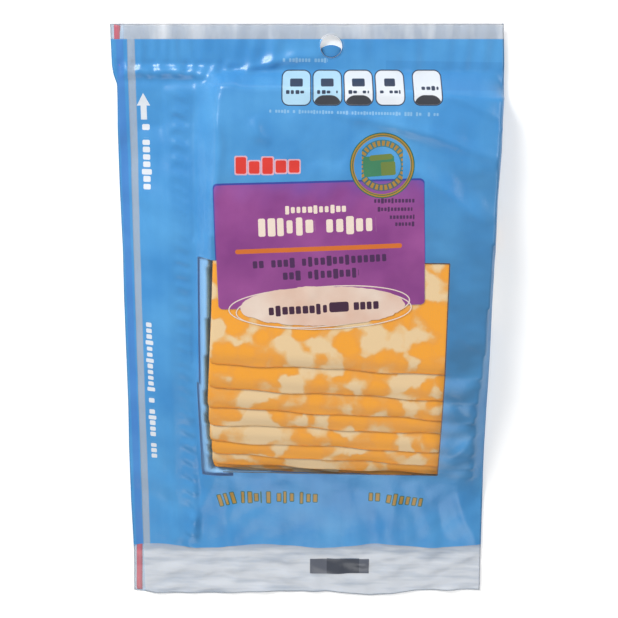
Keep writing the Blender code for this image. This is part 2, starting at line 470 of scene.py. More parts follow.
def film_relief(x, y, rng):
    """All creases and ripples of a film, as a height to add to the tight shape."""
    relief = np.zeros(x.shape)
    for path, half_width, height in CREASES + ZIP_LINES:
        relief += creased(x, y, path, half_width, height)
    head = window_of(y, 97, 111.5, 4)
    relief += 0.42 * head * rippled(x, y, rng, 6, 9.0, 0.05, 0.22)
    streaks = window_of(y, 98, 111, 3) * (1 - smooth_step(x, -44, -30))
    relief += 0.34 * streaks * rippled(x, y, rng, 4, 4.2, 0.02, 0.1)
    crush = window_of(y, 92.4, 98.6, 0.8) * (1 - smooth_step(x, -26, -14))
    relief += 0.85 * crush * rippled(x, y, rng, 6, 4.4, 0.3, 0.8)
    puckers = window_of(x, -48.5, -44.6, 1.0) * window_of(y, -92, 86, 4)
    relief += 0.55 * puckers * rippled(x, y, rng, 4, 3.9, 1.05, 0.10)
    strip = window_of(x, -69.5, -54.5, 2) * window_of(y, -96, 90, 5)
    relief += 0.34 * strip * rippled(x, y, rng, 5, 13.0, 1.2, 0.35)
    foot = window_of(y, -111.5, -97, 3)
    relief += 0.50 * foot * rippled(x, y, rng, 6, 14.0, 0.1, 0.35)
    relief += 0.75 * foot * rippled(x, y, rng, 5, 6.5, 1.5, 0.22)
    apron = window_of(y, -95, -62, 8)
    relief += 0.45 * apron * rippled(x, y, rng, 5, 22.0, 0.0, 0.25)
    shoulder = window_of(y, 72, 90, 8) * smooth_step(x, -40, -20)
    relief += 0.70 * shoulder * rippled(x, y, rng, 5, 16.0, 0.9, 0.5)
    side = smooth_step(x, 54, 64) * window_of(y, -90, 70, 8)
    relief += 0.34 * side * rippled(x, y, rng, 5, 15.0, 1.3, 0.35)
    relief += 0.20 * rippled(x, y, rng, 6, 11.0, 0.8, 1.2) * ~in_seal
    return relief


def zip_bulge(x, y):
    """How far the zip holds each film off the seam's height, across its band."""
    left, right = np.interp(y, ZIP_Y, ZIP_LEFT), np.interp(y, ZIP_Y, ZIP_RIGHT)
    across = smooth_step(x, left - 1.6, left + 0.9) * (1 - smooth_step(x, right - 0.9, right + 1.6))
    return ZIP_BULGE * across * window_of(y, -88, 88, 4)


film_rng = np.random.default_rng(7)
relief = film_relief(flat_x, flat_y, film_rng)
edge_fade = np.minimum(1, np.minimum(film_s, 1 - film_s) * film_columns / 2.5)
front_z = tight + zip_bulge(flat_x, flat_y) + relief * (0.35 + 0.65 * edge_fade)
floor_of_film = np.where(in_seal, SEAL_HEIGHT - 0.35, np.maximum(under_film + film_gap, 0.6))
front_z = np.maximum(front_z, floor_of_film)


def eased(height, rounds):
    """A height with its sharpest kinks eased: the mean of each point and its four
    neighbours, taken a few times."""
    for _ in range(rounds):
        padded = np.pad(height, 1, mode="edge")
        near = padded[:-2, 1:-1] + padded[2:, 1:-1] + padded[1:-1, :-2] + padded[1:-1, 2:]
        height = (4 * height + near) / 8
    return height


front_z = np.maximum(eased(front_z, 2), np.where(in_seal, 0, under_film + 0.14))
zip_y_span = window_of(flat_y, -89, 89, 0.1) > 0
over_zip = (abs(flat_x - (zip_left + zip_right) / 2) < 4.6) & zip_y_span
front_z = np.where(over_zip, np.maximum(front_z, seam + ZIP_CLEARANCE), front_z)

# How closely the film lies on the cheese at each point, from 0 to 1.
touch = smooth_step(front_z - under_film, 1.5, 0.35) * (under_film > 0)
touch = eased(touch, 6)

# The back film: flat under the stack, following the front film in the seals and outside
# the zip, and drawn up beside the stack's left side, close below the front film.
under_stack = under_film > 0
back_start = np.where(under_stack, BACK_HEIGHT, np.maximum(seam - BACK_HEIGHT, BACK_HEIGHT))
back_held = rim | in_seal | (flat_x < zip_right) | under_stack
back_z = drawn_tight(back_start, back_held, np.full(flat_x.shape, BACK_HEIGHT), 420)
back_z = back_z + 0.6 * relief * edge_fade * ~under_stack * (1 - smooth_step(back_z, 5, 0.6))
back_z = back_z - zip_bulge(flat_x, flat_y)
stack_left = np.where(under_stack.any(axis=1), flat_x[0, np.argmax(under_stack, axis=1)], 1e3)
beside = smooth_step(stack_left[:, None] - flat_x, -0.1, 0.7) * (flat_x > zip_right)
beside = beside * (stack_left[:, None] < 0)
back_z = back_z + beside * (front_z - 1.6 - back_z)
follow = np.where(in_seal | (flat_x < zip_left - 1.6), front_z - SEAL_GAP, back_z)
highest = np.where(over_zip, seam - ZIP_CLEARANCE, front_z - 0.25)
back_z = np.minimum(eased(follow, 2), highest)
back_z = np.maximum(back_z, 0.05)


def film_mesh(name):
    """The bag as one closed skin: the front film's grid, the back film's grid turned
    over, both with the same points round the rim, and a wall round the hang hole."""
    rows, columns = flat_x.shape
    front_at = np.arange(rows * columns).reshape(rows, columns)
    back_at = np.where(rim, front_at, front_at + rows * columns)
    there = ~in_hole[:-1, :-1]

    def quads_of(at):
        corners = np.stack([at[:-1, :-1], at[:-1, 1:], at[1:, 1:], at[1:, :-1]], axis=-1)
        return corners[there]

    rows_in = slice(hole_row - HOLE_REACH, hole_row + HOLE_REACH + 1)
    columns_in = slice(hole_column - HOLE_REACH, hole_column + HOLE_REACH + 1)

    def round_hole(at):
        block = at[rows_in, columns_in]
        return np.concatenate([block[0, :-1], block[:-1, -1], block[-1, :0:-1], block[:0:-1, 0]])

    upper, lower = round_hole(front_at), round_hole(back_at)
    wall = np.stack([lower, np.roll(lower, -1), np.roll(upper, -1), upper], axis=-1)
    quads = np.concatenate([quads_of(front_at), wall, quads_of(back_at)[:, ::-1]])
    points = [np.stack([flat_x, flat_y, z], axis=-1).reshape(-1, 3) for z in (front_z, back_z)]
    points = np.concatenate(points)
    used, quads = np.unique(quads, return_inverse=True)
    quads = quads.reshape(-1, 4)
    points = points[used]
    mesh = bpy.data.meshes.new(name)
    mesh.from_pydata((points * 0.001).tolist(), [], quads.tolist())
    layer = mesh.uv_layers.new(name="UVMap")
    uv = (points[quads.ravel(), :2] * 0.001).astype(np.float32)
    layer.data.foreach_set("uv", uv.ravel())
    mark = mesh.attributes.new("touch", "FLOAT", "POINT")
    contact = np.concatenate([touch.ravel()] * 2)[used]
    mark.data.foreach_set("value", contact.astype(np.float32))
    mesh.polygons.foreach_set("use_smooth", np.ones(len(quads), dtype=bool))
    is_back = np.arange(len(quads)) >= there.sum() + len(wall)
    mesh.polygons.foreach_set("material_index", is_back.astype(np.int32))
    mesh.update()
    return mesh


film = linked("pouch_film", film_mesh("pouch_film"))
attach(film, "root")
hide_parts("pouch")


# ---------------------------------------------------------------- printed front
# Blue, purple and white inks on clear film. What isn't inked stays clear: the
# window, the tear-off strip and the bands at the head and the foot. Wherever
# words would be, there are plain bars.


def put(tree, kind, inputs=(), **settings):
    """A new node: its settings by name, and its inputs in order, each a value, the
    socket that feeds it, or None to leave it alone."""
    made = tree.nodes.new(kind)
    for name, value in settings.items():
        setattr(made, name, value)
    for socket, value in zip(made.inputs, inputs):
        if isinstance(value, bpy.types.NodeSocket):
            tree.links.new(value, socket)
        elif value is not None:
            socket.default_value = value
    return made


def math_of(tree, operation, *inputs):
    return put(tree, "ShaderNodeMath", inputs, operation=operation).outputs[0]


def vector_of(tree, operation, *inputs):
    made = put(tree, "ShaderNodeVectorMath", inputs, operation=operation)
    return made.outputs["Value" if operation == "LENGTH" else "Vector"]


def mixed(tree, mask, below, above):
    """The colour above wherever the mask is 1, and the colour below elsewhere."""
    mix = tree.nodes.new("ShaderNodeMix")
    mix.data_type = "RGBA"
    for name, value in (("Factor_Float", mask), ("A_Color", below), ("B_Color", above)):
        socket = next(x for x in mix.inputs if x.identifier == name)
        if isinstance(value, bpy.types.NodeSocket):
            tree.links.new(value, socket)
        else:
            socket.default_value = value
    return next(x for x in mix.outputs if x.identifier == "Result_Color")


def new_group(name, inputs, outputs):
    """An empty shader node group with its sockets: (name, type, default) each."""
    group = bpy.data.node_groups.new(name, "ShaderNodeTree")
    for socket_name, kind, default in inputs:
        socket = group.interface.new_socket(socket_name, in_out="INPUT", socket_type=kind)
        socket.default_value = default
    for socket_name, kind in outputs:
        group.interface.new_socket(socket_name, in_out="OUTPUT", socket_type=kind)
    return group, group.nodes.new("NodeGroupInput"), group.nodes.new("NodeGroupOutput")


def turned_place(group, given, origin):
    """Places moved to the named origin and turned back by Turn, in degrees."""
    moved = vector_of(group, "SUBTRACT", given.outputs["Place"], given.outputs[origin])
    back = math_of(group, "MULTIPLY", given.outputs["Turn"], -math.pi / 180)
    turned = put(group, "ShaderNodeVectorRotate", (moved,), rotation_type="Z_AXIS")
    group.links.new(back, turned.inputs["Angle"])
    return turned.outputs[0]


def clamped(value):
    """The same socket, with its node kept between 0 and 1."""
    value.node.use_clamp = True
    return value


def patch_group():
    """The mask of a rounded rectangle: places are moved to its centre, turned, folded
    into one quarter, and measured from the corner circle. A ring is the same less
    its inside. With the corner as large as the half size, it is a disc or an oval."""
    group, given, result = new_group(
        "print_patch",
        (
            ("Place", "NodeSocketVector", (0, 0, 0)),
            ("Centre", "NodeSocketVector", (0, 0, 0)),
            ("Half Size", "NodeSocketVector", (1, 1, 0)),
            ("Corner", "NodeSocketFloat", 0.5),
            ("Turn", "NodeSocketFloat", 0.0),
            ("Line", "NodeSocketFloat", 0.0),
            ("Soft", "NodeSocketFloat", 0.12),
        ),
        (("Mask", "NodeSocketFloat"),),
    )
    flat = vector_of(group, "MULTIPLY", turned_place(group, given, "Centre"), (1, 1, 0))
    folded = vector_of(group, "ABSOLUTE", flat)
    corner = put(group, "ShaderNodeCombineXYZ", (given.outputs["Corner"],) * 2).outputs[0]
    core = vector_of(group, "SUBTRACT", given.outputs["Half Size"], corner)
    beyond = vector_of(group, "MAXIMUM", vector_of(group, "SUBTRACT", folded, core), (0, 0, 0))
    reach = vector_of(group, "LENGTH", beyond)
    away = math_of(group, "SUBTRACT", reach, given.outputs["Corner"])
    soft = given.outputs["Soft"]
    filled = math_of(group, "DIVIDE", math_of(group, "MULTIPLY", away, -1.0), soft)
    filled = clamped(math_of(group, "ADD", filled, 0.5))
    inner = math_of(group, "ADD", away, given.outputs["Line"])
    hollow = clamped(math_of(group, "ADD", math_of(group, "DIVIDE", inner, soft), 0.5))
    is_line = math_of(group, "GREATER_THAN", given.outputs["Line"], 0.0)
    solid = math_of(group, "MAXIMUM", hollow, math_of(group, "SUBTRACT", 1.0, is_line))
    group.links.new(math_of(group, "MULTIPLY", filled, solid), result.inputs["Mask"])
    return group


def bars_group():
    """A row of small blocks where words would be: places are moved to the row's start
    and turned, and the distance along is cut into cells. Each cell holds one block
    of random length, some taller than the rest, and a share of them is empty. Inset
    draws every block's outline in by that much."""
    group, given, result = new_group(
        "print_bars",
        (
            ("Place", "NodeSocketVector", (0, 0, 0)),
            ("Start", "NodeSocketVector", (0, 0, 0)),
            ("Length", "NodeSocketFloat", 10.0),
            ("Height", "NodeSocketFloat", 2.0),
            ("Cell", "NodeSocketFloat", 3.0),
            ("Turn", "NodeSocketFloat", 0.0),
            ("Seed", "NodeSocketFloat", 0.0),
            ("Inset", "NodeSocketFloat", 0.0),
            ("Gaps", "NodeSocketFloat", 0.14),
        ),
        (("Mask", "NodeSocketFloat"),),
    )
    split = put(group, "ShaderNodeSeparateXYZ", (turned_place(group, given, "Start"),))
    cells = math_of(group, "DIVIDE", split.outputs["X"], given.outputs["Cell"])
    number = math_of(group, "FLOOR", cells)
    chance = put(group, "ShaderNodeTexWhiteNoise", noise_dimensions="1D")
    group.links.new(math_of(group, "ADD", number, given.outputs["Seed"]), chance.inputs["W"])
    drawn = chance.outputs["Value"]
    there = math_of(group, "GREATER_THAN", drawn, given.outputs["Gaps"])
    fill = math_of(group, "MULTIPLY", math_of(group, "MULTIPLY_ADD", drawn, 0.22, 0.62), there)
    again = math_of(group, "FRACT", math_of(group, "MULTIPLY", drawn, 7.0))
    taller = math_of(group, "LESS_THAN", again, 0.35)
    half = math_of(group, "MULTIPLY", fill, 0.5)
    along = math_of(group, "SUBTRACT", math_of(group, "FRACT", cells), half)
    past = math_of(group, "SUBTRACT", math_of(group, "ABSOLUTE", along), half)
    past = math_of(group, "MULTIPLY", past, given.outputs["Cell"])
    level = math_of(group, "ABSOLUTE", split.outputs["Y"])
    reach = math_of(group, "MULTIPLY_ADD", taller, 0.16, 0.42)
    reach = math_of(group, "MULTIPLY", given.outputs["Height"], reach)
    over = math_of(group, "SUBTRACT", level, reach)
    ends = math_of(group, "SUBTRACT", split.outputs["X"], given.outputs["Length"])
    before = math_of(group, "MULTIPLY", split.outputs["X"], -1.0)
    past = math_of(group, "MAXIMUM", past, math_of(group, "MAXIMUM", ends, before))
    # The block's corners are rounded to a fifth of a cell.
    corner = math_of(group, "MULTIPLY", given.outputs["Cell"], 0.2)
    sides = [math_of(group, "ADD", side, corner) for side in (past, over)]
    sides = [math_of(group, "MAXIMUM", side, 0.0) for side in sides]
    beyond = put(group, "ShaderNodeCombineXYZ", sides).outputs[0]
    away = math_of(group, "SUBTRACT", vector_of(group, "LENGTH", beyond), corner)
    away = math_of(group, "ADD", away, given.outputs["Inset"])
    mask = clamped(math_of(group, "MULTIPLY_ADD", away, -8.0, 0.5))
    group.links.new(mask, result.inputs["Mask"])
    return group


def oval_group():
    """The mask of an oval, or of its outline. Places are moved to its centre, turned and
    divided by its half sizes, so that their length is 1 on the oval. The distance
    from the oval is length x (length - 1) / |place / half size squared|."""
    group, given, result = new_group(
        "print_oval",
        (
            ("Place", "NodeSocketVector", (0, 0, 0)),
            ("Centre", "NodeSocketVector", (0, 0, 0)),
            ("Half Size", "NodeSocketVector", (1, 1, 1)),
            ("Turn", "NodeSocketFloat", 0.0),
            ("Line", "NodeSocketFloat", 0.0),
        ),
        (("Mask", "NodeSocketFloat"),),
    )
    flat = vector_of(group, "MULTIPLY", turned_place(group, given, "Centre"), (1, 1, 0))
    scaled = vector_of(group, "DIVIDE", flat, given.outputs["Half Size"])
    length = vector_of(group, "LENGTH", scaled)
    steepness = vector_of(group, "DIVIDE", scaled, given.outputs["Half Size"])
    slope = vector_of(group, "LENGTH", steepness)
    away = math_of(group, "MULTIPLY", length, math_of(group, "SUBTRACT", length, 1.0))
    away = math_of(group, "DIVIDE", away, math_of(group, "MAXIMUM", slope, 0.0001))
    is_line = math_of(group, "GREATER_THAN", given.outputs["Line"], 0.0)
    half_line = math_of(group, "MULTIPLY", given.outputs["Line"], 0.5)
    on_line = math_of(group, "SUBTRACT", math_of(group, "ABSOLUTE", away), half_line)
    gap = math_of(group, "SUBTRACT", on_line, away)
    away = math_of(group, "MULTIPLY_ADD", gap, is_line, away)
    mask = clamped(math_of(group, "MULTIPLY_ADD", away, -6.0, 0.5))
    group.links.new(mask, result.inputs["Mask"])
    return group


PATCH = patch_group()
BARS = bars_group()
OVAL = oval_group()


def patch(tree, place, centre, half, corner=0.4, turn=0.0, line=0.0, soft=0.12):
    """The mask of one rounded rectangle, disc or ring, in millimetres on the film."""
    made = put(tree, "ShaderNodeGroup", node_tree=PATCH)
    tree.links.new(place, made.inputs["Place"])
    made.inputs["Centre"].default_value = (*centre, 0)
    made.inputs["Half Size"].default_value = (*half, 0)
    for name, value in (("Corner", corner), ("Turn", turn), ("Line", line), ("Soft", soft)):
        made.inputs[name].default_value = value
    return made.outputs["Mask"]


def bars(tree, place, start, length, height, cell, turn=0.0, seed=0.0, inset=0.0, gaps=0.14):
    """The mask of one row of bars, starting at the middle of its left end."""
    made = put(tree, "ShaderNodeGroup", node_tree=BARS)
    tree.links.new(place, made.inputs["Place"])
    made.inputs["Start"].default_value = (*start, 0)
    for name, value in (
        ("Length", length), ("Height", height), ("Cell", cell), ("Turn", turn), ("Seed", seed),
        ("Inset", inset), ("Gaps", gaps),
    ):
        made.inputs[name].default_value = value
    return made.outputs["Mask"]


def oval(tree, place, centre, half, turn=0.0, line=0.0):
    """The mask of one oval, or of its outline where line is its width."""
    made = put(tree, "ShaderNodeGroup", node_tree=OVAL)
    tree.links.new(place, made.inputs["Place"])
    made.inputs["Centre"].default_value = (*centre, 0)
    made.inputs["Half Size"].default_value = (*half, 1)
    made.inputs["Turn"].default_value = turn
    made.inputs["Line"].default_value = line
    return made.outputs["Mask"]


def any_of(tree, masks):
    """1 wherever any of the masks is 1."""
    total = masks[0]
    for mask in masks[1:]:
        total = math_of(tree, "MAXIMUM", total, mask)
    return total


BLUE = (0.056, 0.275, 0.615, 1)
BLUE_LIGHT = (0.098, 0.370, 0.720, 1)
BLUE_ON_CHEESE = (0.048, 0.175, 0.345, 1)
BLUE_SHADE = (0.040, 0.215, 0.520, 1)
BLUE_ON_TAPE = (0.070, 0.165, 0.560, 1)
BLUE_WORDS = (0.36, 0.60, 0.80, 1)
WHITE_INK = (0.74, 0.78, 0.83, 1)
PALE_BLUE = (0.42, 0.66, 0.83, 1)
OUTLINE_INK = (0.030, 0.045, 0.085, 1)
CAP_INK = (0.045, 0.050, 0.062, 1)
PURPLE = (0.235, 0.050, 0.235, 1)
PURPLE_LIGHT = (0.34, 0.085, 0.310, 1)
VIOLET = (0.150, 0.090, 0.420, 1)
LABEL_EDGE = (0.040, 0.060, 0.330, 1)
RULE_ORANGE = (0.64, 0.16, 0.028, 1)
LABEL_DARK = (0.050, 0.020, 0.075, 1)
CREAM = (0.74, 0.50, 0.39, 1)
CREAM_LIGHT = (0.83, 0.70, 0.60, 1)
OVAL_WORDS = (0.055, 0.020, 0.050, 1)
SEAL_GREEN = (0.028, 0.140, 0.090, 1)
SEAL_GOLD = (0.44, 0.235, 0.030, 1)
BLOCK_GREEN = (0.050, 0.215, 0.110, 1)
BLOCK_OLIVE = (0.155, 0.220, 0.055, 1)
MARK_RED = (0.70, 0.045, 0.035, 1)
MARK_RIM = (0.72, 0.42, 0.50, 1)
EYE_GREY = (0.110, 0.120, 0.150, 1)
EYE_DARK = (0.055, 0.062, 0.082, 1)
CLEAR_TINT = (0.52, 0.54, 0.565, 1)
CRINKLE_WHITE = (0.92, 0.90, 0.87, 1)
STRIP_TINT = (0.40, 0.48, 0.57, 1)
EDGE_BROWN = (0.060, 0.045, 0.035, 1)
INNER_PAINTED_LIGHT = (0.36, 0.66, 1.0, 1)  # a lighter blue for the film seen from inside: painted light, standing in for light scattered through the film

TILE_CENTRES = (-3.8, 7.3, 18.5, 29.8, 43.3)
# Half the height of each red block, and how far it stands above the row.
MARK_BLOCKS = ((3.0, 0.2), (2.2, -0.5), (2.9, 0.1), (2.2, -0.2), (2.2, -0.2))
# The rows of gold blocks: start, length and turn of each.
GOLD_ROWS = (
    ((-35.6, -71.9), 7.8, 14.0),
    ((-26.4, -69.9), 8.4, 1.0),
    ((-16.4, -69.8), 2.6, 0.0),
    ((-12.2, -69.8), 7.8, 0.0),
    ((-3.0, -70.0), 7.8, -1.0),
    ((24.4, -69.4), 5.2, -1.0),
    ((31.4, -70.0), 15.6, -8.0),
)


def strip_mask(tree, split):
    """The clear line beside the tear tape, leaning a little to the right at the head."""
    middle = math_of(tree, "MULTIPLY_ADD", split.outputs["Y"], 0.006, -64.35)
    away = math_of(tree, "SUBTRACT", split.outputs["X"], middle)
    away = math_of(tree, "ABSOLUTE", away)
    return clamped(math_of(tree, "MULTIPLY_ADD", away, -4.0, 5.9))


def front_print(tree):
    """The print on the front film. Returns its colour, where it is inked, and where it
    is clear but crushed to a haze."""
    uv = put(tree, "ShaderNodeUVMap", uv_map="UVMap").outputs["UV"]
    place = vector_of(tree, "MULTIPLY", uv, (1000, 1000, 0))
    split = put(tree, "ShaderNodeSeparateXYZ", (place,))
    touch_mark = put(tree, "ShaderNodeAttribute", attribute_name="touch").outputs["Fac"]

    # The blue is lightened by a cloudy mottle and by long streaks down the film: partly uneven ink,
    # partly painted sheen standing in for soft reflections on the film.
    cloud = put(tree, "ShaderNodeTexNoise", (place, None, 0.045, 3.0))
    speck = put(tree, "ShaderNodeTexNoise", (
        vector_of(tree, "MULTIPLY", place, (0.8, 1.25, 1)), None, 0.06, 2.0))
    sheen_streaks = put(tree, "ShaderNodeTexNoise", (
        vector_of(tree, "MULTIPLY", place, (1.0, 0.07, 1)), None, 0.30, 2.0))
    tone = math_of(tree, "MULTIPLY_ADD", cloud.outputs["Fac"], 2.4, -1.05)
    tone = math_of(tree, "MULTIPLY_ADD", sheen_streaks.outputs["Fac"], 0.35, tone)
    ground = mixed(tree, clamped(tone), BLUE, BLUE_LIGHT)
    # Where the film lies on the slices, they show through darker, most towards the foot.
    damp = clamped(math_of(tree, "MULTIPLY_ADD", speck.outputs["Fac"], 3.6, -1.3))
    damp = math_of(tree, "MULTIPLY_ADD", damp, 0.45, 0.5)
    depth = math_of(tree, "MULTIPLY_ADD", split.outputs["Y"], -0.009, 1.05)
    depth = math_of(tree, "MINIMUM", math_of(tree, "MAXIMUM", depth, 0.42), 1.0)
    on_cheese = math_of(tree, "MULTIPLY", touch_mark, damp)
    colour = mixed(tree, math_of(tree, "MULTIPLY", on_cheese, depth), ground, BLUE_ON_CHEESE)
    # The tear tape shows through the blue as a deeper band.
    tape_band = patch(tree, place, (-67.8, 0.0), (1.3, 112.0), 0.2, 0.0, 0.0, 0.6)
    colour = mixed(tree, math_of(tree, "MULTIPLY", tape_band, 0.5), colour, BLUE_ON_TAPE)
    # The frame printed on the back shows through at the head.
    ghost = any_of(tree, [
        patch(tree, place, (50.2, 94.2), (21.6, 5.0), 0.2, -0.8, 0.6),
        patch(tree, place, (50.2, 94.2), (20.4, 3.9), 0.2, -0.8, 0.4),
        bars(tree, place, (32.0, 94.4), 37.0, 4.0, 3.1, -0.8, 83),
    ])
    colour = mixed(tree, math_of(tree, "MULTIPLY", ghost, 0.30), colour, BLUE_SHADE)

    # Fine words above and below the tiles, and up the zip.
    words = any_of(tree, [
        bars(tree, place, (-8.8, 99.7), 16.3, 1.5, 1.15, -0.5, 3),
        bars(tree, place, (-13.5, 82.1), 61.0, 1.2, 1.05, -1.2, 11),
    ])
    colour = mixed(tree, math_of(tree, "MULTIPLY", words, 0.55), colour, BLUE_WORDS)
    upright = any_of(tree, [
        bars(tree, place, (-59.3, 53.0), 24.0, 3.3, 2.7, 90.0, 5),
        bars(tree, place, (-60.4, -53.6), 58.6, 2.7, 2.35, 90.0, 9),
        patch(tree, place, (-59.9, 81.4), (1.1, 3.0), 0.1),
    ])
    # The arrow's head: all above its foot and below two slopes that meet at its tip.
    off_shaft = math_of(tree, "ABSOLUTE", math_of(tree, "ADD", split.outputs["X"], 59.9))
    slope = math_of(tree, "MULTIPLY_ADD", off_shaft, 1.86, split.outputs["Y"])
    head = math_of(tree, "GREATER_THAN", split.outputs["Y"], 83.45)
    head = math_of(tree, "MULTIPLY", head, math_of(tree, "LESS_THAN", slope, 88.0))
    colour = mixed(tree, any_of(tree, [upright, head]), colour, WHITE_INK)

    # Five tiles with dark outlines, three of them with dark caps at the foot.
    for number, centre_x in enumerate(TILE_CENTRES):
        paper = PALE_BLUE if number in (0, 1) else WHITE_INK
        outer = patch(tree, place, (centre_x, 90.1), (5.35, 6.2), 2.6)
        inner = patch(tree, place, (centre_x, 90.1), (4.95, 5.8), 2.2)
        colour = mixed(tree, outer, colour, OUTLINE_INK)
        colour = mixed(tree, inner, colour, paper)
        figure = any_of(tree, [
            patch(tree, place, (centre_x, 91.9), (2.3 - 0.35 * (number == 3), 1.35), 0.5),
            bars(tree, place, (centre_x - 3.7, 88.7), 7.4, 1.15, 1.7, 0, number),
        ])
        if number == 4:
            figure = bars(tree, place, (centre_x - 4.0, 89.9), 8.0, 1.35, 1.8, 0, 4)
        colour = mixed(tree, figure, colour, OUTLINE_INK)
        if number in (1, 2, 4):
            cap = patch(tree, place, (centre_x, 83.9), (4.9, 3.7), 3.7)
            cap = math_of(tree, "MULTIPLY", cap, inner)
            colour = mixed(tree, cap, colour, CAP_INK)

    # A row of plain red blocks with pale rims.
    for grown, ink_colour in ((0.45, MARK_RIM), (0.0, MARK_RED)):
        row = []
        for number, (tall, lift) in enumerate(MARK_BLOCKS):
            middle = (-23.8 + 4.8 * number, 62.7 + lift)
            row.append(patch(tree, place, middle, (1.9 + grown, tall + grown), 0.7))
        colour = mixed(tree, any_of(tree, row), colour, ink_colour)

    # The label, with its dark upper edge, and bluer where it lies off the cheese.
    edge = patch(tree, place, (4.7, 34.4), (38.3, 23.0), 1.7, 1.5)
    label = patch(tree, place, (4.8, 34.0), (38.0, 22.7), 1.6, 1.5)
    shade = clamped(math_of(tree, "MULTIPLY_ADD", cloud.outputs["Fac"], 3.0, -1.1))
    purple = mixed(tree, shade, PURPLE, PURPLE_LIGHT)
    off_cheese = math_of(tree, "MULTIPLY_ADD", touch_mark, -0.9, 0.9)
    purple = mixed(tree, off_cheese, purple, VIOLET)
    colour = mixed(tree, edge, colour, LABEL_EDGE)
    colour = mixed(tree, label, colour, purple)
    title = any_of(tree, [
        bars(tree, place, (-7.9, 46.9), 22.2, 2.6, 2.05, 1.5, 21),
        bars(tree, place, (-17.7, 40.6), 20.6, 5.6, 3.43, 1.8, 57, gaps=0.0),
        bars(tree, place, (7.0, 41.3), 18.0, 5.6, 3.6, 1.8, 52, gaps=0.0),
    ])
    colour = mixed(tree, title, colour, CREAM_LIGHT)
    rule = patch(tree, place, (4.2, 33.0), (30.4, 0.85), 0.8, 2.27)
    colour = mixed(tree, rule, colour, RULE_ORANGE)
    dark = any_of(tree, [
        bars(tree, place, (-19.8, 27.0), 49.0, 3.2, 2.25, 3.3, 31),
        bars(tree, place, (-8.8, 22.8), 27.8, 3.2, 2.3, 3.0, 35),
        bars(tree, place, (24.3, 50.2), 14.8, 1.6, 1.25, 0.5, 41),
        bars(tree, place, (25.6, 47.2), 12.6, 1.5, 1.2, 0.5, 43),
        bars(tree, place, (30.0, 44.4), 9.0, 1.5, 1.2, 0.5, 47),
        bars(tree, place, (32.0, 41.9), 7.0, 1.5, 1.2, 0.5, 49),
    ])
    colour = mixed(tree, math_of(tree, "MULTIPLY", dark, 0.9), colour, LABEL_DARK)

    # The round seal: two gold rings edged in green, a row of marks between, and a
    # block in three tones.
    centre = (27.1, 62.9)
    for radius, line, ink_colour in (
        (11.7, 1.5, SEAL_GREEN),
        (11.3, 0.5, SEAL_GOLD),
        (10.5, 0.3, SEAL_GOLD),
    ):
        circle = patch(tree, place, centre, (radius, radius), radius, 0, line)
        colour = mixed(tree, circle, colour, ink_colour)
    moved = vector_of(tree, "SUBTRACT", place, (*centre, 0))
    spokes = put(tree, "ShaderNodeTexGradient", (moved,), gradient_type="RADIAL")
    beat = math_of(tree, "FRACT", math_of(tree, "MULTIPLY", spokes.outputs["Fac"], 30.0))
    beat = math_of(tree, "LESS_THAN", beat, 0.62)
    sides = put(tree, "ShaderNodeSeparateXYZ", (moved,)).outputs["X"]
    sides = math_of(tree, "LESS_THAN", math_of(tree, "ABSOLUTE", sides), 7.4)
    for width, share, ink_colour in ((2.5, 0.75, SEAL_GREEN), (1.8, 0.9, SEAL_GOLD)):
        marks = patch(tree, place, centre, (7.9 + width / 2,) * 2, 7.9 + width / 2, 0, width)
        marks = math_of(tree, "MULTIPLY", marks, sides)
        if ink_colour == SEAL_GOLD:
            marks = math_of(tree, "MULTIPLY", marks, beat)
        colour = mixed(tree, math_of(tree, "MULTIPLY", marks, share), colour, ink_colour)
    for middle, half, corner, turn, ink_colour in (
        ((25.9, 62.7), (5.6, 3.6), 0.9, 4, BLOCK_GREEN),
        ((29.3, 61.8), (2.6, 2.4), 0.5, 4, BLOCK_OLIVE),
        ((26.6, 65.8), (4.2, 1.0), 0.9, 5, BLOCK_OLIVE),
    ):
        block = patch(tree, place, middle, half, corner, turn)
        colour = mixed(tree, block, colour, ink_colour)

    # Two rows of gold blocks edged in dark green.
    for inset, ink_colour in ((0.0, SEAL_GREEN), (0.38, SEAL_GOLD)):
        blocks = []
        for seed, (start, length, turn) in enumerate(GOLD_ROWS):
            blocks.append(
                bars(tree, place, start, length, 5.0, 2.6, turn, seed, inset, gaps=0.0)
            )
        colour = mixed(tree, any_of(tree, blocks), colour, ink_colour)

    # What is left clear: the window, the tear-off strip and the two bands.
    window = any_of(tree, [
        patch(tree, place, (5.3, -15.2), (46.5, 43.4), 0.5, -0.7),
        patch(tree, place, (-35.6, -40.0), (6.2, 20.0), 0.3, 1.0),
    ])
    strip = strip_mask(tree, split)
    sway = math_of(tree, "MULTIPLY_ADD", split.outputs["X"], 0.1366, 3.82)
    foot_line = math_of(tree, "MULTIPLY_ADD", math_of(tree, "SINE", sway), 0.9, -91.9)
    low = math_of(tree, "SUBTRACT", foot_line, split.outputs["Y"])
    low = clamped(math_of(tree, "MULTIPLY_ADD", low, 7.0, 0.5))
    high = clamped(math_of(tree, "MULTIPLY_ADD", split.outputs["Y"], 7.0, -107.0 * 7.0))
    bands = any_of(tree, [low, high])
    # The film is clearest over the tear tape.
    off_tape = math_of(tree, "MULTIPLY_ADD", split.outputs["X"], 2.0, 133.0)
    off_tape = math_of(tree, "MINIMUM", math_of(tree, "MAXIMUM", off_tape, 0.35), 1.0)
    frosted = any_of(tree, [strip, bands])
    haze = math_of(tree, "MULTIPLY", frosted, off_tape)
    not_label = math_of(tree, "SUBTRACT", 1.0, label)
    bare = math_of(tree, "MULTIPLY", window, not_label)
    uninked = any_of(tree, [bare, frosted])
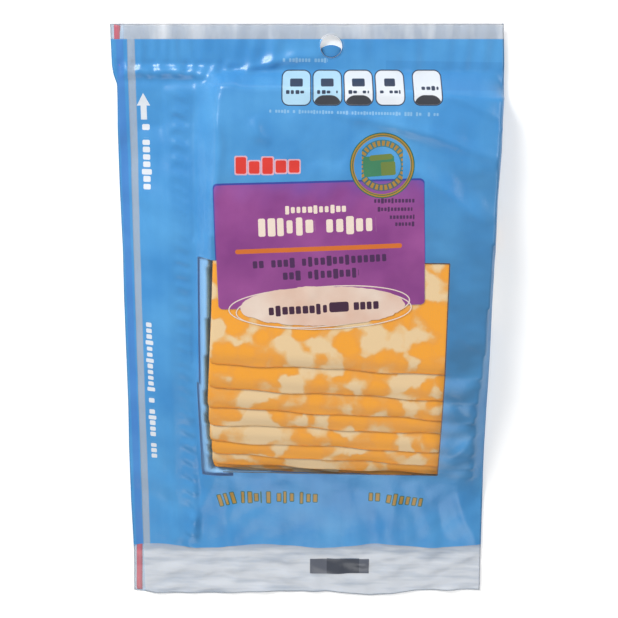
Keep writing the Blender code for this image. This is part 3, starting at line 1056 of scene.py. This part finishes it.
    # Whitish streaks across the foot band and down the head band, stronger towards the foot: partly
    # crushed film turned whitish, partly painted highlights on the crinkles.
    foot_streak = put(tree, "ShaderNodeTexNoise", (
        vector_of(tree, "MULTIPLY", place, (0.16, 1.0, 1)), None, 0.30, 2.0))
    head_streak = put(tree, "ShaderNodeTexNoise", (
        vector_of(tree, "MULTIPLY", place, (1.0, 0.25, 1)), None, 0.16, 2.0))
    at_head = math_of(tree, "GREATER_THAN", split.outputs["Y"], 0.0)
    low_down = clamped(math_of(tree, "MULTIPLY_ADD", split.outputs["Y"], -0.25, -23.2))
    streak = put(tree, "ShaderNodeMix", (at_head, None, foot_streak.outputs["Fac"]))
    tree.links.new(foot_streak.outputs["Fac"], streak.inputs[2])
    tree.links.new(head_streak.outputs["Fac"], streak.inputs[3])
    streak = math_of(tree, "MULTIPLY_ADD", streak.outputs[0], 3.0, -1.4)
    streak = clamped(math_of(tree, "MULTIPLY_ADD", low_down, 0.75, streak))
    clear = mixed(tree, streak, CLEAR_TINT, CRINKLE_WHITE)
    clear = mixed(tree, bands, STRIP_TINT, clear)
    colour = mixed(tree, uninked, colour, clear)

    # The blue's edge along the right and the foot of the window is a thin dark line.
    border = patch(tree, place, (5.3, -15.2), (46.5, 43.4), 0.5, -0.7, 0.35)
    at_right = math_of(tree, "GREATER_THAN", split.outputs["X"], -33.0)
    border = math_of(tree, "MULTIPLY", math_of(tree, "MULTIPLY", border, at_right), not_label)
    colour = mixed(tree, border, colour, EDGE_BROWN)

    # The brush oval lies over the label's foot and the window's head.
    bristle = put(tree, "ShaderNodeTexNoise", (place, None, 0.22, 2.0)).outputs["Color"]
    bristle = vector_of(tree, "MULTIPLY", bristle, (3.0, 1.4, 0))
    brushed = vector_of(tree, "ADD", place, bristle)
    stroke = oval(tree, brushed, (6.9, 12.3), (30.2, 7.5), 1.2)
    loops = any_of(tree, [
        oval(tree, place, (4.8, 10.7), (33.6, 7.8), 1.0, 0.38),
        oval(tree, place, (5.8, 11.4), (32.0, 7.5), 4.6, 0.38),
    ])
    cream = mixed(tree, shade, CREAM, CREAM_LIGHT)
    colour = mixed(tree, loops, colour, CREAM_LIGHT)
    colour = mixed(tree, stroke, colour, cream)
    oval_words = any_of(tree, [
        bars(tree, place, (-16.6, 9.4), 24.0, 3.5, 2.5, 3.0, 71),
        patch(tree, place, (11.8, 11.3), (3.6, 1.9), 0.9, 3),
        bars(tree, place, (17.2, 11.6), 9.4, 3.5, 2.4, 3.0, 74),
    ])
    colour = mixed(tree, oval_words, colour, OVAL_WORDS)
    # The dark register mark in the foot band.
    eye = patch(tree, place, (13.2, -101.0), (12.0, 3.3), 0.2)
    eye_dark = patch(tree, place, (14.6, -100.8), (6.6, 3.3), 0.2)
    colour = mixed(tree, eye, colour, EYE_GREY)
    colour = mixed(tree, eye_dark, colour, EYE_DARK)
    ink = math_of(tree, "SUBTRACT", 1.0, uninked)
    ink = any_of(tree, [ink, stroke, loops, eye, border])
    return colour, ink, haze


def film_material(name, printing, clear_cover, frost_cover, ink_cover):
    """Glossy film: ink nearly hides what is behind it, the hazy bands half hide it, and the clear
    window leaves only gloss. Seen from inside, its colour is mixed towards a lighter blue: painted
    light, standing in for light scattered through the film. The finest creasing is left to a bump."""
    material = bpy.data.materials.new(name)
    material.use_nodes = True
    tree = material.node_tree
    shader = tree.nodes["Principled BSDF"]
    colour, ink, frosted = printing(tree)
    behind = put(tree, "ShaderNodeNewGeometry").outputs["Backfacing"]
    # Backfacing faces are mixed towards a lighter blue: painted light for the light scattered
    # through the film into the bag.
    inside = mixed(tree, 0.6, colour, INNER_PAINTED_LIGHT)
    tree.links.new(mixed(tree, behind, colour, inside), shader.inputs["Base Color"])
    cover = math_of(tree, "MULTIPLY_ADD", frosted, frost_cover - clear_cover, clear_cover)
    gap = math_of(tree, "SUBTRACT", ink_cover, cover)
    cover = math_of(tree, "MULTIPLY_ADD", ink, gap, cover)
    tree.links.new(cover, shader.inputs["Alpha"])
    shader.inputs["Roughness"].default_value = 0.3
    uv = put(tree, "ShaderNodeUVMap", uv_map="UVMap").outputs["UV"]
    place = vector_of(tree, "MULTIPLY", uv, (1000, 1000, 0))
    fine = put(tree, "ShaderNodeTexNoise", (place, None, 0.55, 4.0))
    bump = put(tree, "ShaderNodeBump", (0.06, 0.001))
    tree.links.new(fine.outputs["Fac"], bump.inputs["Height"])
    tree.links.new(bump.outputs["Normal"], shader.inputs["Normal"])
    return material


film.data.materials.append(film_material("printed_film", front_print, 0.05, 0.55, 0.95))


# --------------------------------------------------------------------- back film
# The same web seen from behind: blue ink over all but the bands and the tear-off
# strip, with a white panel of ruled rows. It lies flat under the slices.

BACK_BLUE = (0.075, 0.33, 0.68, 1)
BACK_WHITE = (0.72, 0.77, 0.83, 1)


def back_print(tree):
    """The print on the back film. Returns its colour, where it is inked, and where it
    is clear but hazy."""
    uv = put(tree, "ShaderNodeUVMap", uv_map="UVMap").outputs["UV"]
    place = vector_of(tree, "MULTIPLY", uv, (1000, 1000, 0))
    split = put(tree, "ShaderNodeSeparateXYZ", (place,))
    cloud = put(tree, "ShaderNodeTexNoise", (place, None, 0.04, 3.0))
    colour = mixed(tree, cloud.outputs["Fac"], BACK_BLUE, BLUE_LIGHT)
    panel = patch(tree, place, (47.5, 50.0), (22.0, 50.4), 0.6)
    frame_line = patch(tree, place, (47.5, 50.0), (20.6, 49.0), 0.3, 0, 0.5)
    colour = mixed(tree, panel, colour, BACK_WHITE)
    colour = mixed(tree, frame_line, colour, OUTLINE_INK)
    rows = []
    for number in range(13):
        level = 91.0 - 6.6 * number
        cell = 4.2 - 0.2 * (number % 4)
        rows.append(bars(tree, place, (29.2, level), 36.0, 1.6, cell, 0, number))
        rows.append(patch(tree, place, (47.5, level - 3.3), (19.0, 0.12), 0.05))
    colour = mixed(tree, any_of(tree, rows), colour, OUTLINE_INK)
    words = [bars(tree, place, (-34.0, 80 - 5 * n), 52.0, 1.7, 5.0, 0, 60 + n) for n in range(7)]
    colour = mixed(tree, any_of(tree, words), colour, WHITE_INK)
    strip = strip_mask(tree, split)
    low = math_of(tree, "LESS_THAN", split.outputs["Y"], -92.4)
    high = math_of(tree, "GREATER_THAN", split.outputs["Y"], 107.2)
    frosted = any_of(tree, [strip, low, high])
    colour = mixed(tree, strip, colour, STRIP_TINT)
    colour = mixed(tree, any_of(tree, [low, high]), colour, CLEAR_TINT)
    ink = math_of(tree, "SUBTRACT", 1.0, frosted)
    return colour, ink, frosted


film.data.materials.append(film_material("printed_film_back", back_print, 0.05, 0.78, 0.93))


# ---------------------------------------------------- zip, tear tape, hang flap
# The zip is two extruded strips, one welded to each film, whose ribs press into
# each other. The tear tape is a red ribbon laid along the left edge. The hang
# flap is the punched film, still joined below the hole.


def at_place(field, x, y):
    """A field of the film's grid read between its points, at any x and y."""
    low = np.interp(y, film_y[:, 0], np.arange(film_rows))
    side_left = np.interp(y, OUTLINE_Y, OUTLINE_LEFT)
    side_right = np.interp(y, OUTLINE_Y, OUTLINE_RIGHT)
    across = (x - side_left) / (side_right - side_left) * (film_columns - 1)
    row = np.clip(low.astype(int), 0, film_rows - 2)
    column = np.clip(across.astype(int), 0, film_columns - 2)
    v, u = low - row, across - column
    near = field[row, column] * (1 - u) + field[row, column + 1] * u
    far = field[row + 1, column] * (1 - u) + field[row + 1, column + 1] * u
    return near * (1 - v) + far * v


def swept(name, profile, path_x, path_y, path_z):
    """A closed profile of (across, up) pairs carried up the pouch along a path."""
    across, up = np.array(profile).T
    x = path_x[:, None] + across[None, :]
    z = path_z[:, None] + up[None, :]
    y = np.broadcast_to(path_y[:, None], x.shape)
    run = np.cumsum(np.hypot(np.diff(across, append=across[0]), np.diff(up, append=up[0])))
    uv = np.stack([np.broadcast_to(run, x.shape), y], axis=-1) * 0.001
    return closed(mesh_from_grid(name, np.stack([x, y, z], axis=-1), uv, close_across=True))


# One half of the zip: a strip with two ribs on its inner face, going round anticlockwise
# as seen from the foot.
ZIP_HALF = (
    (-3.9, 0.32), (-3.9, 0.50), (3.9, 0.50), (3.9, 0.32), (2.2, 0.32), (2.1, -0.12),
    (1.6, -0.12), (1.5, 0.32), (0.5, 0.32), (0.4, -0.12), (-0.1, -0.12), (-0.2, 0.32),
)
zip_path_y = np.linspace(-88, 88, 120)
zip_path_x = np.interp(zip_path_y, ZIP_Y, ZIP_LEFT) + np.interp(zip_path_y, ZIP_Y, ZIP_RIGHT)
zip_path_x = zip_path_x / 2
zip_path_z = seam_height(zip_path_x, zip_path_y)


def plain_plastic(name, colour, roughness, mottle):
    """Extruded plastic: one colour with a faint cloudiness along its length."""
    material = bpy.data.materials.new(name)
    material.use_nodes = True
    tree = material.node_tree
    shader = tree.nodes["Principled BSDF"]
    shader.inputs["Roughness"].default_value = roughness
    place = put(tree, "ShaderNodeTexCoord").outputs["Object"]
    cloud = put(tree, "ShaderNodeTexNoise", (place, None, 260.0, 3.0)).outputs["Fac"]
    darker = tuple(c * (1 - mottle) for c in colour[:3]) + (1,)
    tree.links.new(mixed(tree, cloud, darker, colour), shader.inputs["Base Color"])
    return material


zip_plastic = plain_plastic("zip_plastic", (0.62, 0.72, 0.82, 1), 0.35, 0.15)
for name, side in (("zip_rib_half", 1), ("zip_groove_half", -1)):
    profile = [(across - 0.9 * (side < 0), side * up) for across, up in ZIP_HALF]
    half = linked(name, swept(name, profile, zip_path_x, zip_path_y, zip_path_z))
    half.data.materials.append(zip_plastic)
    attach(half, "root")

# The tape's path: distances up the pouch, and its middle at each.
TAPE_Y = (-112, -90, 0, 90, 107, 113)
TAPE_X = (-68.6, -67.8, -67.9, -67.6, -68.6, -68.4)
TAPE_WIDTH = 2.3
TAPE_THICKNESS = 0.04
TAPE_DEPTH = 0.12  # below the front film
tape_y = np.linspace(-111.4, 112.2, 240)
tape_x = np.interp(tape_y, TAPE_Y, TAPE_X)
tape_z = np.min([at_place(front_z, tape_x + side, tape_y) for side in (-1.2, 0, 1.2)], axis=0)
tape_z = tape_z - TAPE_DEPTH
half_width, half_thickness = TAPE_WIDTH / 2, TAPE_THICKNESS / 2
tape_profile = (
    (-half_width, -half_thickness),
    (half_width, -half_thickness),
    (half_width, half_thickness),
    (-half_width, half_thickness),
)
tape = linked("tear_tape", swept("tear_tape", tape_profile, tape_x, tape_y, tape_z))
tape.data.materials.append(plain_plastic("tear_tape_red", (0.74, 0.02, 0.10, 1), 0.3, 0.25))
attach(tape, "root")

flap_u = np.linspace(-0.93, 0.93, 25)[None, :]
flap_v = np.linspace(0, 1, 14)[:, None]
flap_low = HOLE_Y - 3.9 * np.sqrt(1 - flap_u**2)
flap_high = HOLE_Y + 0.5 - 1.4 * flap_u**2
flap_x = HOLE_X + 3.9 * flap_u + 0 * flap_v
flap_y = flap_low + (flap_high - flap_low) * flap_v
flap_z = SEAL_HEIGHT - 0.1 + 0.35 * flap_v**2 * (1 - 0.3 * flap_u**2)
flap_points = np.stack([flap_x, flap_y, flap_z], axis=-1)
flap_mesh = mesh_from_grid("hang_flap", flap_points, flap_points[..., :2] * 0.001)
flap = linked("hang_flap", flap_mesh)
flap.data.materials.append(film.data.materials[0])
thickness = flap.modifiers.new("film_thickness", "SOLIDIFY")
thickness.thickness = 0.00012
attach(flap, "root")


# ------------------------------------------------------- floor, light and camera
# A plain white floor, three wide soft lamps, and a camera over the pouch, tilted
# a little towards its head.

floor_mesh = bpy.data.meshes.new("floor")
floor_mesh.from_pydata([(-3, -3, 0), (3, -3, 0), (3, 3, 0), (-3, 3, 0)], [], [(0, 1, 2, 3)])
floor = linked("floor", floor_mesh)
floor_paint = bpy.data.materials.new("floor_paint")
floor_paint.use_nodes = True
floor_tree = floor_paint.node_tree
floor_shader = floor_tree.nodes["Principled BSDF"]
floor_shader.inputs["Base Color"].default_value = (0.9, 0.9, 0.9, 1)
floor_shader.inputs["Roughness"].default_value = 0.8
floor_shader.inputs["Emission Color"].default_value = (1, 1, 1, 1)
FLOOR_GLOW = 0.3  # seen by the camera, straight or through the film
seen = put(floor_tree, "ShaderNodeLightPath").outputs
watched = math_of(floor_tree, "MAXIMUM", seen["Is Camera Ray"], seen["Is Transmission Ray"])
glow = math_of(floor_tree, "MULTIPLY", watched, FLOOR_GLOW)
floor_tree.links.new(glow, floor_shader.inputs["Emission Strength"])
floor_mesh.materials.append(floor_paint)

WORLD_STRENGTH = 0.30  # for all but the camera, which sees plain white
world = bpy.data.worlds.new("studio")
bpy.context.scene.world = world
world.use_nodes = True
background = world.node_tree.nodes["Background"]
background.inputs["Color"].default_value = (1, 1, 1, 1)
sight = put(world.node_tree, "ShaderNodeLightPath").outputs["Is Camera Ray"]
strength = math_of(
    world.node_tree, "MULTIPLY_ADD", sight, 1 - WORLD_STRENGTH, WORLD_STRENGTH
)
world.node_tree.links.new(strength, background.inputs["Strength"])


def soft_lamp(name, place, size, power):
    """A square area lamp turned to face the middle of the pouch."""
    data = bpy.data.lights.new(name, "AREA")
    data.size = size
    data.energy = power
    lamp = linked(name, data)
    lamp.location = place
    x, y, z = place
    lamp.rotation_euler = (math.atan2(math.hypot(x, y), z), 0, math.atan2(x, -y))


soft_lamp("lamp_left", (-0.68, 0.85, 0.72), 0.5, 16)
soft_lamp("lamp_right", (0.95, 0.3, 0.75), 0.6, 4)
soft_lamp("lamp_foot", (0.0, -1.0, 0.9), 0.6, 3)

CAMERA_DISTANCE = 0.4364
CAMERA_TILT = math.radians(14)
IMAGE_SIDE = 618
FOCAL_LENGTH = 1129.7  # in the same measure as the image's side
camera_data = bpy.data.cameras.new("camera")
camera = linked("camera", camera_data)
camera.location = (
    0,
    CAMERA_DISTANCE * math.sin(CAMERA_TILT),
    CAMERA_DISTANCE * math.cos(CAMERA_TILT),
)
camera.rotation_euler = (-CAMERA_TILT, 0, 0)
camera_data.lens = camera_data.sensor_width * FOCAL_LENGTH / IMAGE_SIDE
camera_data.shift_x = 2 / IMAGE_SIDE
camera_data.shift_y = 16 / IMAGE_SIDE
camera_data.clip_start = 0.01
bpy.context.scene.camera = camera
bpy.context.scene.view_settings.view_transform = "Standard"
